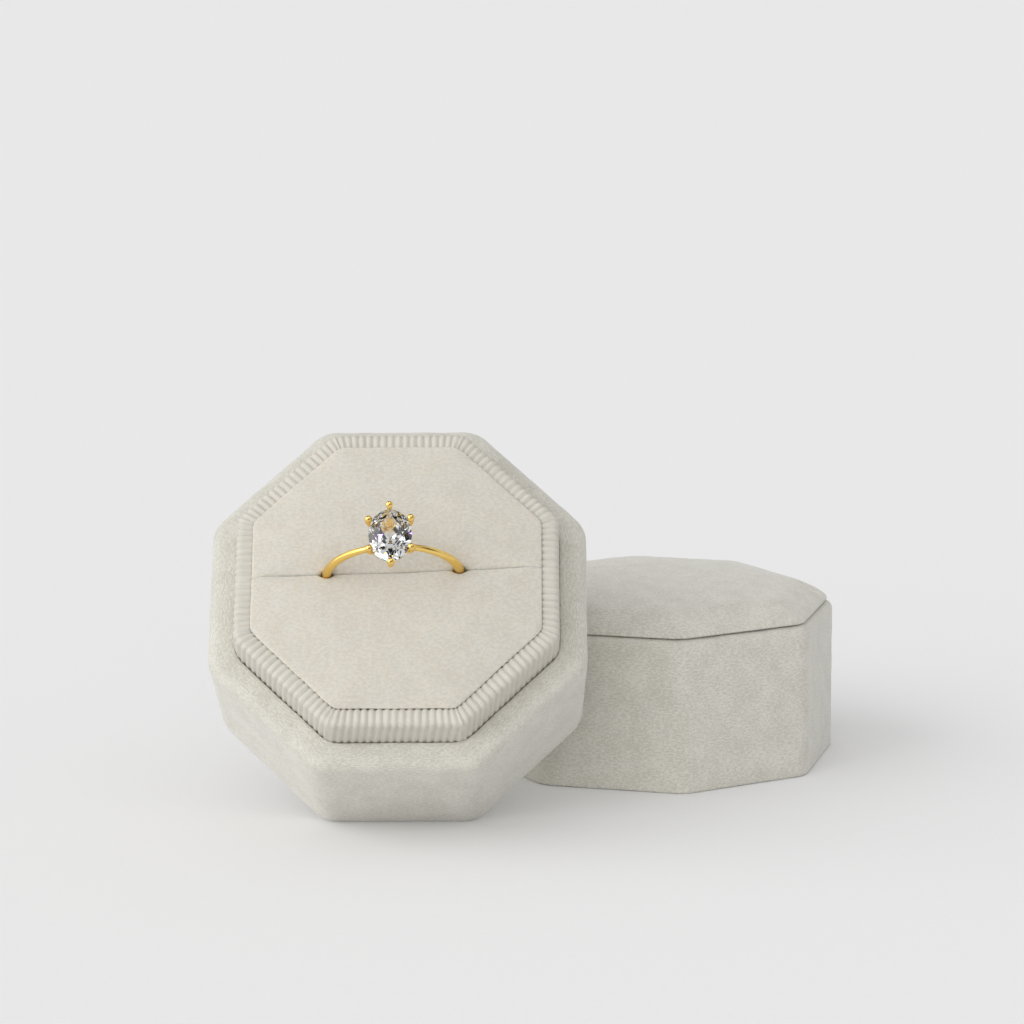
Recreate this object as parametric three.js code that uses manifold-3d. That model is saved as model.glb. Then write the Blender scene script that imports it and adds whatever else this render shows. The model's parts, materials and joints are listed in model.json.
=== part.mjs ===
// Octagonal two-piece velvet ring box, set out for display: the base stands on the lower edge of one
// side and leans back on the lid, which lies on the table beside it, and a solitaire ring sits in the
// cushion's slot. Millimetres, +Z up, with the table at Z = 0.
import * as THREE from "three";
import { mergeVertices } from "three/addons/utils/BufferGeometryUtils.js";
import Module from "manifold-3d";

// Overall sizes
const ACROSS_FLATS = 54; // both halves, outside the velvet
const BASE_HEIGHT = 21.5; // underside to the shoulder that the lid's rim sits on
const LID_HEIGHT = 23.7; // rim to the seam round the top
const DOME_RISE = 4.8; // seam to the crest of the padded top
const COLLAR_PROUD = 6.5; // shoulder to the top of the ribbon collar

// Materials' thicknesses
const VELVET = 0.7;
const CUSHION_VELVET = 0.5;
const RIBBON = 0.5;
const LINING = 0.3;
const WALL_BOARD = 1.9;
const COLLAR_BOARD = 1.3;
const FLOOR_BOARD = 2;
const INSERT_CARD = 1;
const TOP_BOARD = 0.9;
const CEILING_CARD = 0.5;
const DOME_CARD = 0.8;

// Clearances
const GLUE_GAP = 0.25; // between faces that are glued together
const COLLAR_FIT = 0.7; // wall board to ribbon
const LID_FIT = 0.35; // ribbon to the lid's lining
const SHANK_FIT = 0.3; // ring to each side of the slot
const LEAN_GAP = 0.3; // base to lid, where the base leans

// Soft shapes
const EDGE_ROUND = 1.1; // velvet over the edges of the boards
const RIBBON_ROUND = 0.8; // ribbon over the collar's outer edge
const CUSHION_ROUND = 1.6;
const CUSHION_PROUD = 0.7; // edge of the cushion above the collar's top
const CUSHION_CROWN = 0.7;
const BOTTOM_TURN = 6; // velvet turned in under the base
const TOP_TURN = 4; // velvet turned in over the lid
const RIBBON_TUCK = 5; // ribbon glued down outside the collar, below the shoulder
const RIBBON_INNER_DROP = 8; // and inside it, below its top

// Ring
const FINGER_BORE = 17.9;
const SHANK_WIRE = 1.5;
const RING_DEPTH = 0.9; // centre of the ring below the collar's top
const RING_SIDE = -0.5; // along the slot, from the middle of the box
const STONE_WIDTH = 6.2;
const STONE_LENGTH = 8.2;
const STONE_LIFT = 3.4; // middle of the shank's wire to the stone's girdle
const GIRDLE_DEPTH = 0.3;
const CROWN_HEIGHT = 1.1;
const PAVILION_DEPTH = 2.6;
const TABLE_SHARE = 0.58; // of the stone's width
const PRONG_WIRE = 0.7;
const PRONG_BALL = 1.1;
const PRONG_FIT = 0.15; // stone's girdle to each prong
const PRONG_ANGLES = [90, 30, -30, -90, -150, 150];
const RAIL_WIRE = 0.6;
const RAIL_DROP = 1.4; // girdle to the upper rail
const RAIL_SHARE = 0.78; // of the stone's width and length
const FOOT_WIDTH = 2.4; // lower rail
const FOOT_LENGTH = 3;
const SHANK_END_FIT = 0.3; // shank's ends to the lower rail's prongs

// Display pose
const BASE_TILT = 53; // degrees from lying flat
const LID_SIDE = 38.9; // middle of the lid to the right of the middle of the base
const LID_TURN = -15.4;
const SLOT_OFFSET = 0.4; // slot from the middle of the cushion
const SLOT_TURN = 2;

// Facets
const SIDES = 8;
const CORNER_STEPS = 3;
const CROWN_STEPS = 5;
const DOME_STEPS = 8;
const SHANK_STEPS = 48;
const SHANK_SIDES = 10;
const RAIL_STEPS = 28;
const RAIL_SIDES = 6;
const PRONG_STEPS = 10;
const PRONG_SIDES = 8;
const STONE_SIDES = 16;

const wasm = await Module();
wasm.setup();

// ---------- helpers ----------

const radians = THREE.MathUtils.degToRad;

// Points of a closed profile; each corner is [x, y] or [x, y, radius of its rounding].
function rounded(corners) {
  const points = [];
  corners.forEach(([x, y, radius = 0], i) => {
    const corner = new THREE.Vector2(x, y);
    if (!radius) {
      points.push(corner);
      return;
    }
    const before = new THREE.Vector2(...corners.at(i - 1).slice(0, 2));
    const after = new THREE.Vector2(...corners[(i + 1) % corners.length].slice(0, 2));
    const start = corner.clone().add(before.sub(corner).setLength(radius));
    const end = corner.clone().add(after.sub(corner).setLength(radius));
    const bend = new THREE.QuadraticBezierCurve(start, corner, end);
    points.push(...bend.getPoints(CORNER_STEPS));
  });
  return points;
}

// A profile of half-widths and heights carried round the octagon, with flat sides at the half-widths.
function octagonal(profile) {
  const toCorner = 1 / Math.cos(Math.PI / SIDES);
  const points = profile.map((p) => new THREE.Vector2(p.x * toCorner, p.y));
  return new THREE.LatheGeometry(points, SIDES, Math.PI / SIDES).rotateX(Math.PI / 2);
}

function octagonalRing(corners) {
  const profile = rounded(corners);
  return octagonal([...profile, profile[0]]);
}

function octagonalPlate(half, bottom, top) {
  return octagonal(rounded([[0, bottom], [half, bottom], [half, top], [0, top]]));
}

// A padded block: upright sides, a rounded shoulder and a top that rises to a crown in the middle.
function crownedProfile(half, bottom, edge, crown, round) {
  const corners = [[0, bottom], [half, bottom], [half, edge, round]];
  for (let i = CROWN_STEPS - 1; i >= 0; i--) {
    const share = i / CROWN_STEPS;
    corners.push([half * share, edge + crown * (1 - share ** 2)]);
  }
  return rounded(corners);
}

function solidOf(geometry) {
  const bare = geometry.clone();
  bare.deleteAttribute("normal");
  bare.deleteAttribute("uv");
  const merged = mergeVertices(bare, 1e-4);
  return new wasm.Manifold(
    new wasm.Mesh({
      numProp: 3,
      vertProperties: new Float32Array(merged.attributes.position.array),
      triVerts: new Uint32Array(merged.index.array),
    }),
  );
}

function geometryOf(solid) {
  const mesh = solid.getMesh();
  const geometry = new THREE.BufferGeometry();
  geometry.setAttribute("position", new THREE.BufferAttribute(mesh.vertProperties, 3));
  geometry.setIndex(new THREE.BufferAttribute(mesh.triVerts, 1));
  geometry.computeVertexNormals();
  return geometry;
}

function material(color, roughness, metalness = 0, opacity = 1) {
  return new THREE.MeshStandardMaterial({
    color,
    roughness,
    metalness,
    opacity,
    transparent: opacity < 1,
  });
}

function addMesh(parent, name, geometry, look) {
  const mesh = new THREE.Mesh(geometry, look);
  mesh.name = name;
  parent.add(mesh);
  return mesh;
}

const looks = {
  velvet: material(0xcbc9c1, 0.95),
  cushionVelvet: material(0xe0d6c6, 0.95),
  ribbon: material(0xe2ded0, 0.7),
  lining: material(0xd8d2c4, 0.8),
  board: material(0xa9a59c, 0.9),
  foam: material(0xf2f0ea, 1),
  gold: material(0xd9a441, 0.2, 1),
  stone: material(0xf4f7fa, 0.02, 0, 0.4),
};

const display = new THREE.Group();
const base = new THREE.Group();
const lid = new THREE.Group();
display.add(base, lid);

// ---------- base: boards and velvet ----------

const half = ACROSS_FLATS / 2;
const boardOuter = half - VELVET - GLUE_GAP;
const collarOuter = boardOuter - WALL_BOARD - COLLAR_FIT;
const collarTop = BASE_HEIGHT + COLLAR_PROUD;
const floorTop = VELVET + GLUE_GAP + FLOOR_BOARD;

addMesh(
  base,
  "base_velvet_wrap",
  octagonalRing([
    [half - BOTTOM_TURN, 0],
    [half, 0, EDGE_ROUND],
    [half, BASE_HEIGHT, EDGE_ROUND],
    [collarOuter + GLUE_GAP, BASE_HEIGHT],
    [collarOuter + GLUE_GAP, BASE_HEIGHT - VELVET],
    [half - VELVET, BASE_HEIGHT - VELVET],
    [half - VELVET, VELVET],
    [half - BOTTOM_TURN, VELVET],
  ]),
  looks.velvet,
);
addMesh(
  base,
  "base_bottom_velvet",
  octagonalPlate(half - BOTTOM_TURN - GLUE_GAP, 0, VELVET),
  looks.velvet,
);
addMesh(
  base,
  "base_floor_board",
  octagonalPlate(boardOuter, VELVET + GLUE_GAP, floorTop),
  looks.board,
);
addMesh(
  base,
  "base_wall_board",
  octagonalRing([
    [boardOuter - WALL_BOARD, floorTop + GLUE_GAP],
    [boardOuter, floorTop + GLUE_GAP],
    [boardOuter, BASE_HEIGHT - VELVET - GLUE_GAP],
    [boardOuter - WALL_BOARD, BASE_HEIGHT - VELVET - GLUE_GAP],
  ]),
  looks.board,
);

// ---------- base: ribbon collar ----------

const collarBoardOuter = collarOuter - RIBBON - GLUE_GAP;
const collarBoardInner = collarBoardOuter - COLLAR_BOARD;
const ribbonInner = collarBoardInner - GLUE_GAP - RIBBON;
const collarBoardTop = collarTop - RIBBON - GLUE_GAP;

addMesh(
  base,
  "collar_board",
  octagonalRing([
    [collarBoardInner, floorTop + GLUE_GAP],
    [collarBoardOuter, floorTop + GLUE_GAP],
    [collarBoardOuter, collarBoardTop],
    [collarBoardInner, collarBoardTop],
  ]),
  looks.board,
);
addMesh(
  base,
  "collar_ribbon",
  octagonalRing([
    [collarOuter - RIBBON, BASE_HEIGHT - RIBBON_TUCK],
    [collarOuter, BASE_HEIGHT - RIBBON_TUCK],
    [collarOuter, collarTop, RIBBON_ROUND],
    [ribbonInner, collarTop, RIBBON],
    [ribbonInner, collarTop - RIBBON_INNER_DROP],
    [ribbonInner + RIBBON, collarTop - RIBBON_INNER_DROP],
    [ribbonInner + RIBBON, collarTop - RIBBON],
    [collarOuter - RIBBON, collarTop - RIBBON],
  ]),
  looks.ribbon,
);

// ---------- base: cushion in two halves, with the slot between them ----------

const cushionHalf = ribbonInner - GLUE_GAP;
const foamHalf = cushionHalf - CUSHION_VELVET - GLUE_GAP;
const cardTop = floorTop + GLUE_GAP + INSERT_CARD;
const foamBottom = cardTop + GLUE_GAP;
const cushionTop = collarTop + CUSHION_PROUD;
const foamEdge = cushionTop - CUSHION_VELVET - GLUE_GAP;
const slotWidth = SHANK_WIRE + 2 * SHANK_FIT;

addMesh(
  base,
  "insert_card",
  octagonalPlate(collarBoardInner - GLUE_GAP, floorTop + GLUE_GAP, cardTop),
  looks.board,
);

// The half of a block on one side of the slot, from a face at the given distance off the slot's middle.
function cutAtSlot(profile, side, distance) {
  const reach = ACROSS_FLATS;
  const keep = new THREE.BoxGeometry(2 * reach, reach, 2 * reach);
  keep.translate(0, side * (reach / 2 + distance), 0);
  keep.rotateZ(radians(SLOT_TURN)).translate(0, SLOT_OFFSET, 0);
  return solidOf(octagonal(profile)).intersect(solidOf(keep));
}

for (const [place, side] of [["upper", 1], ["lower", -1]]) {
  const outer = crownedProfile(cushionHalf, foamBottom, cushionTop, CUSHION_CROWN, CUSHION_ROUND);
  const inner = crownedProfile(
    cushionHalf - CUSHION_VELVET,
    foamBottom - VELVET,
    cushionTop - CUSHION_VELVET,
    CUSHION_CROWN,
    CUSHION_ROUND,
  );
  const foam = crownedProfile(foamHalf, foamBottom, foamEdge, CUSHION_CROWN, CUSHION_ROUND);
  const coverFace = slotWidth / 2;
  const shell = cutAtSlot(outer, side, coverFace).subtract(
    cutAtSlot(inner, side, coverFace + CUSHION_VELVET),
  );
  const block = cutAtSlot(foam, side, coverFace + CUSHION_VELVET + GLUE_GAP);
  addMesh(base, `cushion_velvet_${place}`, geometryOf(shell), looks.cushionVelvet);
  addMesh(base, `cushion_foam_${place}`, geometryOf(block), looks.foam);
}

// ---------- lid ----------

const liningInner = collarOuter + LID_FIT;
const lidBoardInner = liningInner + LINING + GLUE_GAP;
const topBoardTop = LID_HEIGHT - VELVET - GLUE_GAP;
const topBoardBottom = topBoardTop - TOP_BOARD;
const ceilingTop = topBoardBottom - GLUE_GAP;
const ceilingVelvetTop = ceilingTop - CEILING_CARD - GLUE_GAP;
const domeBottom = LID_HEIGHT + GLUE_GAP;
const domeFoamBottom = domeBottom + DOME_CARD + GLUE_GAP;
const domeHalf = half - GLUE_GAP;

const lidWrapCorners = [
  [lidBoardInner, 0],
  [half, 0, EDGE_ROUND],
  [half, LID_HEIGHT, EDGE_ROUND],
  [half - TOP_TURN, LID_HEIGHT],
  [half - TOP_TURN, LID_HEIGHT - VELVET],
  [half - VELVET, LID_HEIGHT - VELVET],
  [half - VELVET, VELVET],
  [lidBoardInner, VELVET],
];

// A quarter-oval from the seam to the crest, set in from the outside of the dome by the given distance,
// and cut level at the given height.
function domeProfile(inset, bottom) {
  const width = domeHalf - inset;
  const rise = DOME_RISE - GLUE_GAP - inset;
  const start = Math.asin(Math.max(0, bottom - domeBottom) / rise);
  const points = [new THREE.Vector2(0, bottom)];
  if (bottom < domeBottom) points.push(new THREE.Vector2(width, bottom));
  for (let i = 0; i <= DOME_STEPS; i++) {
    const angle = start + ((Math.PI / 2 - start) * i) / DOME_STEPS;
    const across = i < DOME_STEPS ? width * Math.cos(angle) : 0;
    points.push(new THREE.Vector2(across, domeBottom + rise * Math.sin(angle)));
  }
  return points;
}
const domeOutside = domeProfile(0, domeBottom);
const domeInside = domeProfile(CUSHION_VELVET, domeBottom - VELVET);
const domeFoam = domeProfile(CUSHION_VELVET + GLUE_GAP, domeFoamBottom);
const domeCardHalf = domeFoam[1].x;

addMesh(lid, "lid_velvet_wrap", octagonalRing(lidWrapCorners), looks.velvet);
addMesh(
  lid,
  "lid_wall_board",
  octagonalRing([
    [lidBoardInner, VELVET + GLUE_GAP],
    [boardOuter, VELVET + GLUE_GAP],
    [boardOuter, topBoardBottom - GLUE_GAP],
    [lidBoardInner, topBoardBottom - GLUE_GAP],
  ]),
  looks.board,
);
addMesh(
  lid,
  "lid_top_board",
  octagonalPlate(boardOuter, topBoardBottom, topBoardTop),
  looks.board,
);
addMesh(
  lid,
  "lid_wall_lining",
  octagonalRing([
    [liningInner, VELVET],
    [liningInner + LINING, VELVET],
    [liningInner + LINING, ceilingTop],
    [liningInner, ceilingTop],
  ]),
  looks.lining,
);
addMesh(
  lid,
  "lid_ceiling_card",
  octagonalPlate(liningInner - GLUE_GAP, ceilingTop - CEILING_CARD, ceilingTop),
  looks.board,
);
addMesh(
  lid,
  "lid_ceiling_velvet",
  octagonalPlate(liningInner - GLUE_GAP, ceilingVelvetTop - CUSHION_VELVET, ceilingVelvetTop),
  looks.cushionVelvet,
);
addMesh(
  lid,
  "lid_dome_card",
  octagonalPlate(domeCardHalf, domeBottom, domeBottom + DOME_CARD),
  looks.board,
);
addMesh(lid, "lid_dome_foam", octagonal(domeFoam), looks.foam);
addMesh(
  lid,
  "lid_top_velvet",
  geometryOf(solidOf(octagonal(domeOutside)).subtract(solidOf(octagonal(domeInside)))),
  looks.velvet,
);

// ---------- ring: shank, cast head and stone ----------

const slotFrame = new THREE.Group();
slotFrame.position.y = SLOT_OFFSET;
slotFrame.rotation.z = radians(SLOT_TURN);
const ring = new THREE.Group();
ring.position.set(RING_SIDE, 0, collarTop - RING_DEPTH);
slotFrame.add(ring);
base.add(slotFrame);

const shankRadius = (FINGER_BORE + SHANK_WIRE) / 2;
const stoneHalfWidth = STONE_WIDTH / 2;
const stoneHalfLength = STONE_LENGTH / 2;
const prongRadius = PRONG_WIRE / 2;

// An upright arc about the ring's centre that leaves a gap at the top for the head.
class ShankArc extends THREE.Curve {
  constructor(radius, gap) {
    super();
    this.radius = radius;
    this.gap = gap;
  }
  getPoint(t, target = new THREE.Vector3()) {
    const angle = this.gap + t * 2 * (Math.PI - this.gap);
    return target.set(this.radius * Math.sin(angle), 0, this.radius * Math.cos(angle));
  }
}

// A level oval, for the head's rails.
class Oval extends THREE.Curve {
  constructor(halfWidth, halfLength, height) {
    super();
    this.halves = [halfWidth, halfLength];
    this.height = height;
  }
  getPoint(t, target = new THREE.Vector3()) {
    const angle = t * 2 * Math.PI;
    const [halfWidth, halfLength] = this.halves;
    return target.set(halfWidth * Math.cos(angle), halfLength * Math.sin(angle), this.height);
  }
}

function wire(path, radius, steps, sides) {
  const section = new THREE.Shape();
  for (let i = 0; i < sides; i++) {
    const angle = (2 * Math.PI * i) / sides;
    const place = [radius * Math.cos(angle), radius * Math.sin(angle)];
    if (i) section.lineTo(...place);
    else section.moveTo(...place);
  }
  return new THREE.ExtrudeGeometry(section, { steps, extrudePath: path });
}

const headFoot = shankRadius; // height of the head's lower rail above the ring's centre
const girdleRise = shankRadius + STONE_LIFT;
const footHalfWidth = FOOT_WIDTH / 2;
const footHalfLength = FOOT_LENGTH / 2;
const shankEnd = footHalfWidth + prongRadius + SHANK_END_FIT + SHANK_WIRE / 2;
const shankArc = new ShankArc(shankRadius, Math.asin(shankEnd / shankRadius));

addMesh(
  ring,
  "ring_shank",
  wire(shankArc, SHANK_WIRE / 2, SHANK_STEPS, SHANK_SIDES),
  looks.gold,
);

const tipRise = girdleRise + CROWN_HEIGHT - PRONG_BALL / 4;
const clasp = 1 + (prongRadius + PRONG_FIT) / stoneHalfWidth; // girdle to the prongs, as a share
const railRise = girdleRise - RAIL_DROP;
const railHalfWidth = RAIL_SHARE * stoneHalfWidth;
const railHalfLength = RAIL_SHARE * stoneHalfLength;

const railPath = new Oval(railHalfWidth, railHalfLength, railRise);
const footPath = new Oval(footHalfWidth, footHalfLength, headFoot);
let head = solidOf(wire(footPath, RAIL_WIRE / 2, RAIL_STEPS, RAIL_SIDES)).add(
  solidOf(wire(railPath, RAIL_WIRE / 2, RAIL_STEPS, RAIL_SIDES)),
);
for (const degrees of PRONG_ANGLES) {
  const across = Math.cos(radians(degrees));
  const along = Math.sin(radians(degrees));
  const girdle = [clasp * stoneHalfWidth * across, clasp * stoneHalfLength * along];
  const path = new THREE.CatmullRomCurve3([
    new THREE.Vector3(footHalfWidth * across, footHalfLength * along, headFoot),
    new THREE.Vector3(railHalfWidth * across, railHalfLength * along, railRise),
    new THREE.Vector3(...girdle, girdleRise),
    new THREE.Vector3(...girdle, tipRise),
  ]);
  const ball = new THREE.SphereGeometry(PRONG_BALL / 2, 10, 8).translate(...girdle, tipRise);
  const prong = wire(path, prongRadius, PRONG_STEPS, PRONG_SIDES);
  head = head.add(solidOf(prong)).add(solidOf(ball));
}
addMesh(ring, "ring_head", geometryOf(head), looks.gold);

// Oval cut: a point below, a thin girdle, a sloping crown and a flat table.
const stoneProfile = [
  [0, girdleRise - PAVILION_DEPTH],
  [stoneHalfWidth, girdleRise - GIRDLE_DEPTH / 2],
  [stoneHalfWidth, girdleRise + GIRDLE_DEPTH / 2],
  [stoneHalfWidth * TABLE_SHARE, girdleRise + CROWN_HEIGHT],
  [0, girdleRise + CROWN_HEIGHT],
].map(([x, y]) => new THREE.Vector2(x, y));
addMesh(
  ring,
  "ring_stone",
  new THREE.LatheGeometry(stoneProfile, STONE_SIDES)
    .rotateX(Math.PI / 2)
    .scale(1, STONE_LENGTH / STONE_WIDTH, 1),
  looks.stone,
);

// ---------- display pose ----------

// The base leans back on the lower edge of one side, with that edge at Y = 0 on the table.
const tilt = radians(BASE_TILT);
base.rotation.x = tilt;
base.position.set(0, half * Math.cos(tilt), half * Math.sin(tilt));
base.updateMatrixWorld(true);
base.position.z -= new THREE.Box3().setFromObject(base, true).min.z;

// The lid stands just behind the base's underside, where the base's right edge meets the lid's front.
// Each point of the lid's outline, a half-width and a height, needs the lid's middle this far back.
const turn = radians(LID_TURN);
function lidBack({ x: halfWidth, y: height }) {
  const underside = base.position.y + (height - base.position.z) / Math.tan(tilt);
  const front = ((half - LID_SIDE) * Math.sin(turn) - halfWidth) / Math.cos(turn);
  return underside + LEAN_GAP / Math.sin(tilt) - front;
}
const lidOutline = [...rounded(lidWrapCorners), ...domeOutside];
lid.rotation.z = turn;
lid.position.set(LID_SIDE, Math.max(...lidOutline.map(lidBack)), 0);

// The frame's origin is under the middle of the whole display, on the table.
display.updateMatrixWorld(true);
const extent = new THREE.Box3().setFromObject(display, true);
const middle = extent.getCenter(new THREE.Vector3());
display.position.set(-middle.x, -middle.y, -extent.min.z);

export default display;
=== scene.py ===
import json
import math

import bpy
import bmesh
import numpy as np
from mathutils import Matrix, Vector, noise


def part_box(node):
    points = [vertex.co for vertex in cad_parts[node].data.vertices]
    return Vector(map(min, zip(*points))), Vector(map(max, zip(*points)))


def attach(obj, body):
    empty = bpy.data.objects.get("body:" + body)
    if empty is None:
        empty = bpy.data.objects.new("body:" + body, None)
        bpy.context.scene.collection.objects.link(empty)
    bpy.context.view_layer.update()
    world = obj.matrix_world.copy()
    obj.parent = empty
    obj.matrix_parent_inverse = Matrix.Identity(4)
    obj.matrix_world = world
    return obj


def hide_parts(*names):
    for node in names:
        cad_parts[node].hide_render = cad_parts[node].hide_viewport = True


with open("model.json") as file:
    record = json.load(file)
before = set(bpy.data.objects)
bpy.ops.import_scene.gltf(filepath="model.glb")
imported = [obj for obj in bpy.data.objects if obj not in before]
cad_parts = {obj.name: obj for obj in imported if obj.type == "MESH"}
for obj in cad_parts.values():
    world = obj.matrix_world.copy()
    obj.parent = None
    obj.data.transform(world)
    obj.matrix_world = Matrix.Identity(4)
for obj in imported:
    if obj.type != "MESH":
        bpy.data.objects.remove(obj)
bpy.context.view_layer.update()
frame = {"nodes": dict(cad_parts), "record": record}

bl_info = {
    "name": "Octagonal Ring Box",
    "version": (1, 0, 0),
    "blender": (4, 5, 0),
    "location": "View3D > Sidebar > Ring Box",
    "description": "Velvet ring box with a padded lid, a ribbon collar and a solitaire ring",
    "category": "Add Mesh",
}

MM = 0.001
SIDES = 8
STEP = 2 * math.pi / SIDES  # from one side to the next
TO_CORNER = 1 / math.cos(STEP / 2)
SIDE_SHARE = 2 * math.tan(STEP / 2)  # a side's length, as a share of the half-width


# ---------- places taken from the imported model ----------


def mount(name):
    return next(m for m in frame["record"]["mounts"] if m["name"] == name)


def space_at(origin, x_axis, z_axis):
    """The matrix of a space with its origin and its X and Z axes there."""
    x, z = Vector(x_axis).normalized(), Vector(z_axis).normalized()
    axes = Matrix((x, z.cross(x), z)).transposed().to_4x4()
    return Matrix.Translation(origin) @ axes


def points_in(space, node):
    """A node's vertices in a space, one row each."""
    inverse = space.inverted()
    return np.array([inverse @ v.co for v in frame["nodes"][node].data.vertices])


def box_in(space, node):
    """The lowest and highest corners of a node in a space."""
    points = points_in(space, node)
    return Vector(points.min(0)), Vector(points.max(0))


def base_space():
    """The base's own space: origin in the middle of its underside, Z towards the cushion."""
    underside = mount("base_underside")
    return space_at(underside["pos_m"], (1, 0, 0), -Vector(underside["axis"]))


def lid_space():
    """The lid's own space: origin in the middle of its rim, Z up, -Y towards its front."""
    low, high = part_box("lid_velvet_wrap")
    middle = Vector(((low.x + high.x) / 2, (low.y + high.y) / 2, low.z))
    back = middle - Vector(mount("lid_rim")["pos_m"])
    return space_at(middle, back.cross(Vector((0, 0, 1))), (0, 0, 1))


def ring_space():
    """The ring's own space: origin in its band's middle, X along the slot, Z to the stone."""
    x, y, _ = points_in(BASE, "ring_shank").T
    turn = math.atan(np.cov(x, y)[0, 1] / np.var(x, ddof=1))
    turned = BASE @ Matrix.Rotation(turn, 4, "Z")
    low, high = box_in(turned, "ring_shank")
    radius = (high.x - low.x) / 2
    middle = Vector(((low.x + high.x) / 2, (low.y + high.y) / 2, low.z + radius))
    return turned @ Matrix.Translation(middle)


BASE = base_space()
LID = lid_space()
RING = ring_space()

base_high = box_in(BASE, "base_velvet_wrap")[1]
bottom_low, bottom_high = box_in(BASE, "base_bottom_velvet")
ribbon_low, ribbon_high = box_in(BASE, "collar_ribbon")
cushion_low, cushion_high = box_in(BASE, "cushion_velvet_upper")
collar_board_high = box_in(BASE, "collar_board")[1]
lid_high = box_in(LID, "lid_velvet_wrap")[1]
dome_low, dome_high = box_in(LID, "lid_top_velvet")
ceiling_low, ceiling_high = box_in(LID, "lid_ceiling_velvet")
lining_high = box_in(LID, "lid_wall_lining")[1]
shank_low, shank_high = box_in(RING, "ring_shank")
stone_low, stone_high = box_in(RING, "ring_stone")
head_high = box_in(RING, "ring_head")[1]
band_radius = (shank_high.x - shank_low.x) / 2  # to the outside of the band
wire_radius = (shank_high.y - shank_low.y) / 2
stone_half_width = (stone_high.x - stone_low.x) / 2
stone_half_length = (stone_high.y - stone_low.y) / 2


# ---------- settings ----------


def length(name, text, value):
    return bpy.props.FloatProperty(
        name=name, description=text, default=value, unit="LENGTH", precision=5
    )


def tone(name, text, value):
    return bpy.props.FloatVectorProperty(
        name=name, description=text, default=value, size=3, subtype="COLOR", min=0, max=1
    )


def angle(name, text, degrees):
    return bpy.props.FloatProperty(
        name=name, description=text, default=math.radians(degrees), subtype="ANGLE"
    )


class RingBoxSizes(bpy.types.PropertyGroup):
    corner: length("Corner", "Reach of the velvet's rounding at an upright corner", 1.3 * MM)
    edge: length("Edge", "Rounding of the velvet over the shoulder", 2.2 * MM)
    rim: length("Rim", "Rounding of the velvet over the other edges of the boards", 0.9 * MM)
    pile: length("Pile", "How far the pile stands proud of the cloth", 0.5 * MM)
    velvet: length("Velvet", "Thickness of the grey velvet", 0.6 * MM)
    ruffle: length("Ruffle", "Height of the velvet's soft unevenness", 0.16 * MM)
    rib_height: length("Rib height", "Depth of the ribbon's ribs", 0.3 * MM)
    ribs: bpy.props.IntProperty(name="Ribs", description="Ribs on each side", default=18, min=4)
    cover: length("Cushion velvet", "Thickness of the cushion's velvet", 0.45 * MM)
    lip: length("Slot", "How far each lip's pile reaches into the other", 0.12 * MM)
    swell: length("Swell", "The most that the cushion's cover swells", 1.0 * MM)
    crown: length("Crown", "Height of the stone above its girdle", 1.1 * MM)


class RingBoxColours(bpy.types.PropertyGroup):
    velvet: tone("Velvet", "Lit tone of the grey velvet", (0.67, 0.653, 0.591))
    velvet_shade: tone("Velvet shade", "Tone of brushed pile", (0.534, 0.515, 0.456))
    cushion: tone("Cushion", "Lit tone of the ivory velvet", (0.664, 0.633, 0.568))
    cushion_shade: tone("Cushion shade", "Tone in the ivory velvet's pile", (0.598, 0.56, 0.492))
    ribbon: tone("Ribbon", "Grosgrain ribbon", (0.63, 0.604, 0.536))
    board: tone("Board", "Pressed grey board", (0.36, 0.34, 0.30))
    foam: tone("Foam", "Fine-cell foam", (0.85, 0.83, 0.77))
    lining: tone("Lining", "Flocked lining of the lid", (0.65, 0.60, 0.51))
    gold: tone("Gold", "Polished gold plate", (0.94, 0.66, 0.20))
    stone: tone("Stone", "Clear stone", (1, 1, 1))
    floor: tone("Floor", "Studio floor", (0.88, 0.88, 0.885))


class RingBoxView(bpy.types.PropertyGroup):
    distance: length("Distance", "Camera to the middle of the display", 513.3 * MM)
    height: length("Height", "Camera above the table", 131.1 * MM)
    side: length("Side", "Camera to the right of the middle of the display", -1.98 * MM)
    turn: angle("Turn", "Turn of the camera about the vertical", 0.215)
    drop: angle("Drop", "How far the camera looks down", 9.884)
    roll: angle("Roll", "Roll of the camera about its view", -0.303)
    lens: bpy.props.FloatProperty(
        name="Lens", description="Focal length", default=119.5, unit="CAMERA"
    )


# ---------- modelling helpers ----------


def leave_edit():
    bpy.ops.object.mode_set(mode="OBJECT")


def clear_selection():
    if bpy.context.object and bpy.context.object.mode != "OBJECT":
        leave_edit()
    bpy.ops.object.select_all(action="DESELECT")


def settle(obj):
    """Leaves the object alone selected and active, in object mode, with its place in its mesh."""
    clear_selection()
    obj.select_set(True)
    bpy.context.view_layer.objects.active = obj
    bpy.ops.object.transform_apply(location=True, rotation=True, scale=True)


def new_piece(name):
    """Names the object that has just been made and settles it."""
    obj = bpy.context.object
    obj.name = obj.data.name = name
    settle(obj)
    return obj


def pick(obj, kind, test):
    """Selects only the vertices, edges or faces of the edited mesh that pass the test."""
    mesh = bmesh.from_edit_mesh(obj.data)
    bpy.context.tool_settings.mesh_select_mode = [kind == k for k in ("verts", "edges", "faces")]
    bpy.ops.mesh.select_all(action="DESELECT")
    found = 0
    for element in getattr(mesh, kind):
        if test(element):
            element.select_set(True)
            found += 1
    if not found:
        raise RuntimeError(f"{obj.name}: nothing of its {kind} was picked")
    mesh.select_flush_mode()
    bmesh.update_edit_mesh(obj.data)


def point_outwards():
    """Turns the edited piece's faces outwards."""
    bpy.ops.mesh.select_all(action="SELECT")
    bpy.ops.mesh.normals_make_consistent(inside=False)


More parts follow.
